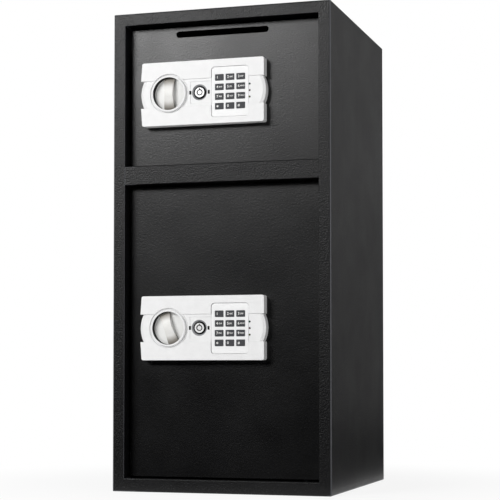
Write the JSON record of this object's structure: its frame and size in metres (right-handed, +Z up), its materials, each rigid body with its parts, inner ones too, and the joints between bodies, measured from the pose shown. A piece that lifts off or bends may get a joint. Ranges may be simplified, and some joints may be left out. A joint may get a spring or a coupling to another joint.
{
  "type": "double-door safe",
  "caption": "Tall black steel safe with a small letter-drop door above a large door, each with its own keypad lock, turning knob, override lock and live bolts.",
  "frame": {"origin": "middle of the base, on the floor", "axes": "+Z up, front face looks towards -Y, +X to the right seen from the front"},
  "size_m": [0.35, 0.37, 0.745],
  "materials": {
    "body_paint": "fine textured black powder coat",
    "door_paint": "fine textured black powder coat",
    "inner_paint": "smooth dark grey coat",
    "mat": "needled felt",
    "hinge_steel": "turned steel",
    "zinc_steel": "zinc plated steel",
    "panel_plastic": "satin silver-white moulding",
    "bezel_plastic": "satin silver-white moulding",
    "key_rubber": "soft dark grey rubber",
    "board": "green solder mask",
    "knob_plastic": "satin silver-white moulding",
    "lock_chrome": "polished plating",
    "coil": "passivated steel frame",
    "black_plastic": "moulded black plastic",
    "red_plastic": "moulded red plastic"
  },
  "bodies": {
    "cabinet": {"cabinet_shell": "body_paint", "rail_and_stops": "body_paint", "divider_plate": "inner_paint", "rear_panel": "body_paint", "floor_mats": "mat", "hinge_pins": "hinge_steel", "anchor_bolts": "zinc_steel"},
    "upper_door": {"upper_door_plate": "door_paint", "upper_door_cover": "inner_paint", "upper_lock_panel": "panel_plastic", "upper_keypad_bezel": "bezel_plastic", "upper_keypad_board": "board", "upper_lock_barrel": "lock_chrome", "upper_solenoid": "coil", "deposit_chute": "inner_paint"},
    "upper_knob": {"upper_knob": "knob_plastic", "upper_knob_spindle": "zinc_steel"},
    "upper_bolts": {"upper_bolt_carriage": "zinc_steel"},
    "upper_plunger": {"upper_solenoid_plunger": "hinge_steel"},
    "upper_lock_plug": {"upper_lock_plug": "lock_chrome"},
    "upper_battery_lid": {"upper_battery_cover": "black_plastic"},
    "upper_reset": {"upper_reset_button": "red_plastic"},
    "upper_key_1": {"upper_key_1": "key_rubber"},
    "upper_key_2": {"upper_key_2": "key_rubber"},
    "upper_key_3": {"upper_key_3": "key_rubber"},
    "upper_key_4": {"upper_key_4": "key_rubber"},
    "upper_key_5": {"upper_key_5": "key_rubber"},
    "upper_key_6": {"upper_key_6": "key_rubber"},
    "upper_key_7": {"upper_key_7": "key_rubber"},
    "upper_key_8": {"upper_key_8": "key_rubber"},
    "upper_key_9": {"upper_key_9": "key_rubber"},
    "upper_key_star": {"upper_key_star": "key_rubber"},
    "upper_key_0": {"upper_key_0": "key_rubber"},
    "upper_key_hash": {"upper_key_hash": "key_rubber"},
    "lower_door": {"lower_door_plate": "door_paint", "lower_door_cover": "inner_paint", "lower_lock_panel": "panel_plastic", "lower_keypad_bezel": "bezel_plastic", "lower_keypad_board": "board", "lower_lock_barrel": "lock_chrome", "lower_solenoid": "coil"},
    "lower_knob": {"lower_knob": "knob_plastic", "lower_knob_spindle": "zinc_steel"},
    "lower_bolts": {"lower_bolt_carriage": "zinc_steel"},
    "lower_plunger": {"lower_solenoid_plunger": "hinge_steel"},
    "lower_lock_plug": {"lower_lock_plug": "lock_chrome"},
    "lower_battery_lid": {"lower_battery_cover": "black_plastic"},
    "lower_reset": {"lower_reset_button": "red_plastic"},
    "lower_key_1": {"lower_key_1": "key_rubber"},
    "lower_key_2": {"lower_key_2": "key_rubber"},
    "lower_key_3": {"lower_key_3": "key_rubber"},
    "lower_key_4": {"lower_key_4": "key_rubber"},
    "lower_key_5": {"lower_key_5": "key_rubber"},
    "lower_key_6": {"lower_key_6": "key_rubber"},
    "lower_key_7": {"lower_key_7": "key_rubber"},
    "lower_key_8": {"lower_key_8": "key_rubber"},
    "lower_key_9": {"lower_key_9": "key_rubber"},
    "lower_key_star": {"lower_key_star": "key_rubber"},
    "lower_key_0": {"lower_key_0": "key_rubber"},
    "lower_key_hash": {"lower_key_hash": "key_rubber"}
  },
  "joints": [
    {"name": "upper_door_hinge", "type": "hinge", "parent": "cabinet", "child": "upper_door", "pos_m": [0.1315, -0.156, 0.6163], "axis": [0, 0, 1], "range_deg": [0, 110]},
    {"name": "upper_knob_turn", "type": "hinge", "parent": "upper_door", "child": "upper_knob", "pos_m": [-0.085, -0.165, 0.6163], "axis": [0, -1, 0], "range_deg": [0, 70]},
    {"name": "upper_bolt_slide", "type": "slide", "parent": "upper_door", "child": "upper_bolts", "axis": [-1, 0, 0], "range_m": [0, 0.018]},
    {"name": "upper_plunger_slide", "type": "slide", "parent": "upper_door", "child": "upper_plunger", "axis": [0, 0, 1], "range_m": [0, 0.005], "stiffness_N_per_m": 40, "springref_m": -0.003},
    {"name": "upper_lock_plug_turn", "type": "hinge", "parent": "upper_door", "child": "upper_lock_plug", "pos_m": [-0.035, -0.165, 0.6163], "axis": [0, -1, 0], "range_deg": [0, 90]},
    {"name": "upper_battery_lid_slide", "type": "slide", "parent": "upper_door", "child": "upper_battery_lid", "axis": [0, 0, -1], "range_m": [0, 0.062]},
    {"name": "upper_reset_press", "type": "slide", "parent": "upper_door", "child": "upper_reset", "axis": [0, -1, 0], "range_m": [0, 0.0015], "stiffness_N_per_m": 300},
    {"name": "upper_key_1_press", "type": "slide", "parent": "upper_door", "child": "upper_key_1", "axis": [0, 1, 0], "range_m": [0, 0.0012], "stiffness_N_per_m": 350},
    {"name": "upper_key_2_press", "type": "slide", "parent": "upper_door", "child": "upper_key_2", "axis": [0, 1, 0], "range_m": [0, 0.0012], "stiffness_N_per_m": 350},
    {"name": "upper_key_3_press", "type": "slide", "parent": "upper_door", "child": "upper_key_3", "axis": [0, 1, 0], "range_m": [0, 0.0012], "stiffness_N_per_m": 350},
    {"name": "upper_key_4_press", "type": "slide", "parent": "upper_door", "child": "upper_key_4", "axis": [0, 1, 0], "range_m": [0, 0.0012], "stiffness_N_per_m": 350},
    {"name": "upper_key_5_press", "type": "slide", "parent": "upper_door", "child": "upper_key_5", "axis": [0, 1, 0], "range_m": [0, 0.0012], "stiffness_N_per_m": 350},
    {"name": "upper_key_6_press", "type": "slide", "parent": "upper_door", "child": "upper_key_6", "axis": [0, 1, 0], "range_m": [0, 0.0012], "stiffness_N_per_m": 350},
    {"name": "upper_key_7_press", "type": "slide", "parent": "upper_door", "child": "upper_key_7", "axis": [0, 1, 0], "range_m": [0, 0.0012], "stiffness_N_per_m": 350},
    {"name": "upper_key_8_press", "type": "slide", "parent": "upper_door", "child": "upper_key_8", "axis": [0, 1, 0], "range_m": [0, 0.0012], "stiffness_N_per_m": 350},
    {"name": "upper_key_9_press", "type": "slide", "parent": "upper_door", "child": "upper_key_9", "axis": [0, 1, 0], "range_m": [0, 0.0012], "stiffness_N_per_m": 350},
    {"name": "upper_key_star_press", "type": "slide", "parent": "upper_door", "child": "upper_key_star", "axis": [0, 1, 0], "range_m": [0, 0.0012], "stiffness_N_per_m": 350},
    {"name": "upper_key_0_press", "type": "slide", "parent": "upper_door", "child": "upper_key_0", "axis": [0, 1, 0], "range_m": [0, 0.0012], "stiffness_N_per_m": 350},
    {"name": "upper_key_hash_press", "type": "slide", "parent": "upper_door", "child": "upper_key_hash", "axis": [0, 1, 0], "range_m": [0, 0.0012], "stiffness_N_per_m": 350},
    {"name": "lower_door_hinge", "type": "hinge", "parent": "cabinet", "child": "lower_door", "pos_m": [0.1315, -0.156, 0.2525], "axis": [0, 0, 1], "range_deg": [0, 110]},
    {"name": "lower_knob_turn", "type": "hinge", "parent": "lower_door", "child": "lower_knob", "pos_m": [-0.085, -0.165, 0.2525], "axis": [0, -1, 0], "range_deg": [-19, 51]},
    {"name": "lower_bolt_slide", "type": "slide", "parent": "lower_door", "child": "lower_bolts", "axis": [-1, 0, 0], "range_m": [-0.00488, 0.01311]},
    {"name": "lower_plunger_slide", "type": "slide", "parent": "lower_door", "child": "lower_plunger", "axis": [0, 0, 1], "range_m": [0, 0.005], "stiffness_N_per_m": 40, "springref_m": -0.003},
    {"name": "lower_lock_plug_turn", "type": "hinge", "parent": "lower_door", "child": "lower_lock_plug", "pos_m": [-0.035, -0.165, 0.2525], "axis": [0, -1, 0], "range_deg": [0, 90]},
    {"name": "lower_battery_lid_slide", "type": "slide", "parent": "lower_door", "child": "lower_battery_lid", "axis": [0, 0, -1], "range_m": [0, 0.062]},
    {"name": "lower_reset_press", "type": "slide", "parent": "lower_door", "child": "lower_reset", "axis": [0, -1, 0], "range_m": [0, 0.0015], "stiffness_N_per_m": 300},
    {"name": "lower_key_1_press", "type": "slide", "parent": "lower_door", "child": "lower_key_1", "axis": [0, 1, 0], "range_m": [0, 0.0012], "stiffness_N_per_m": 350},
    {"name": "lower_key_2_press", "type": "slide", "parent": "lower_door", "child": "lower_key_2", "axis": [0, 1, 0], "range_m": [0, 0.0012], "stiffness_N_per_m": 350},
    {"name": "lower_key_3_press", "type": "slide", "parent": "lower_door", "child": "lower_key_3", "axis": [0, 1, 0], "range_m": [0, 0.0012], "stiffness_N_per_m": 350},
    {"name": "lower_key_4_press", "type": "slide", "parent": "lower_door", "child": "lower_key_4", "axis": [0, 1, 0], "range_m": [0, 0.0012], "stiffness_N_per_m": 350},
    {"name": "lower_key_5_press", "type": "slide", "parent": "lower_door", "child": "lower_key_5", "axis": [0, 1, 0], "range_m": [0, 0.0012], "stiffness_N_per_m": 350},
    {"name": "lower_key_6_press", "type": "slide", "parent": "lower_door", "child": "lower_key_6", "axis": [0, 1, 0], "range_m": [0, 0.0012], "stiffness_N_per_m": 350},
    {"name": "lower_key_7_press", "type": "slide", "parent": "lower_door", "child": "lower_key_7", "axis": [0, 1, 0], "range_m": [0, 0.0012], "stiffness_N_per_m": 350},
    {"name": "lower_key_8_press", "type": "slide", "parent": "lower_door", "child": "lower_key_8", "axis": [0, 1, 0], "range_m": [0, 0.0012], "stiffness_N_per_m": 350},
    {"name": "lower_key_9_press", "type": "slide", "parent": "lower_door", "child": "lower_key_9", "axis": [0, 1, 0], "range_m": [0, 0.0012], "stiffness_N_per_m": 350},
    {"name": "lower_key_star_press", "type": "slide", "parent": "lower_door", "child": "lower_key_star", "axis": [0, 1, 0], "range_m": [0, 0.0012], "stiffness_N_per_m": 350},
    {"name": "lower_key_0_press", "type": "slide", "parent": "lower_door", "child": "lower_key_0", "axis": [0, 1, 0], "range_m": [0, 0.0012], "stiffness_N_per_m": 350},
    {"name": "lower_key_hash_press", "type": "slide", "parent": "lower_door", "child": "lower_key_hash", "axis": [0, 1, 0], "range_m": [0, 0.0012], "stiffness_N_per_m": 350}
  ],
  "couplings": [
    {"joint": "upper_knob_turn", "follows": "upper_bolt_slide", "rad_per_m": 67.874},
    {"joint": "lower_knob_turn", "follows": "lower_bolt_slide", "rad_per_m": 67.874}
  ]
}
